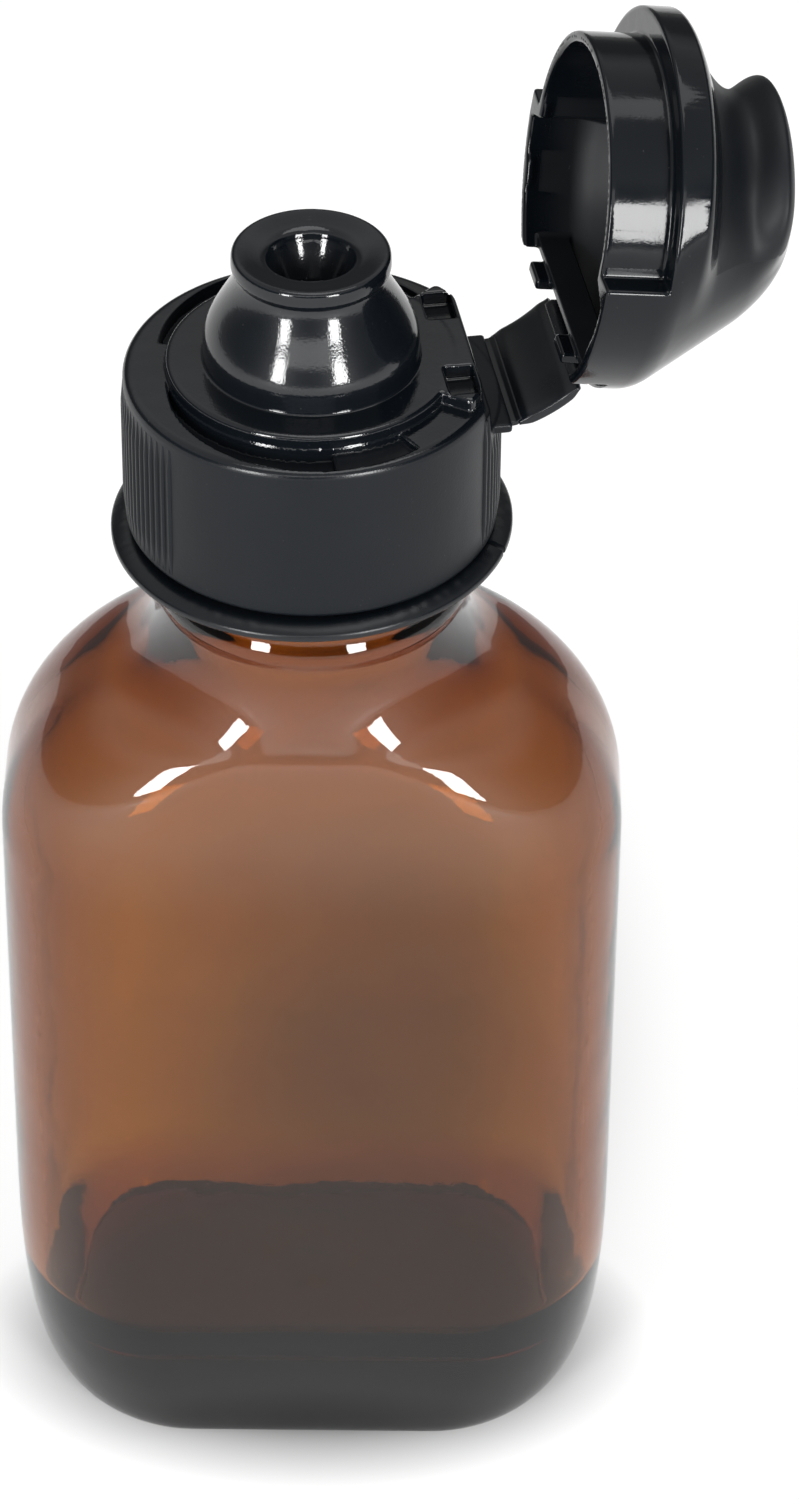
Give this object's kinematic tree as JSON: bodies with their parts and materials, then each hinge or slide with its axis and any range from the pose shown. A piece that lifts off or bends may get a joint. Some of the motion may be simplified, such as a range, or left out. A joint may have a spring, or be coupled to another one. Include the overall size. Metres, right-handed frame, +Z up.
{
  "type": "ink bottle",
  "caption": "Amber glass oval bottle with a screw neck and a black dispensing cap: flared pouring nozzle, snap lid on a folding strap, and a torn tamper band.",
  "frame": {"origin": "centre of the flat base, on the bottle's axis", "axes": "+Z up the bottle's axis, +X along its broad face, with the closure's hinge 10 degrees round from +X towards +Y, and -Y towards the viewer"},
  "size_m": [0.0637, 0.0354, 0.1341],
  "materials": {
    "amber_glass": "amber bottle glass, polished, slightly wavy inside",
    "band_black": "moulded satin black",
    "liner_white": "soft foamed sealing ring",
    "cap_satin_black": "satin skirt, polished deck and nozzle",
    "strap_black": "moulded semi-gloss black",
    "lid_black": "moulded semi-gloss black"
  },
  "bodies": {
    "bottle": {"glass_bottle": "amber_glass", "tamper_band": "band_black"},
    "seal": {"neck_liner": "liner_white"},
    "cap": {"screw_cap": "cap_satin_black"},
    "strap": {"hinge_strap": "strap_black"},
    "lid": {"flip_lid": "lid_black"}
  },
  "joints": [
    {"name": "cap_lift", "type": "slide", "parent": "bottle", "child": "seal", "axis": [0, 0, 1], "range_m": [0, 0.0054]},
    {"name": "cap_turn", "type": "hinge", "parent": "seal", "child": "cap", "pos_m": [0, 0, 0.1], "axis": [0, 0, 1], "range_deg": [0, 450]},
    {"name": "strap_fold", "type": "hinge", "parent": "cap", "child": "strap", "pos_m": [0.01526, 0.00269, 0.1029], "axis": [-0.1736, 0.9848, 0], "range_deg": [-75, 24]},
    {"name": "lid_flip", "type": "hinge", "parent": "strap", "child": "lid", "pos_m": [0.02021, 0.00356, 0.10619], "axis": [-0.1736, 0.9848, 0], "range_deg": [-23.4, 7.5]}
  ],
  "couplings": [
    {"joint": "cap_lift", "follows": "cap_turn", "m_per_rad": 0.00067322},
    {"joint": "lid_flip", "follows": "strap_fold", "ratio": 0.312}
  ]
}
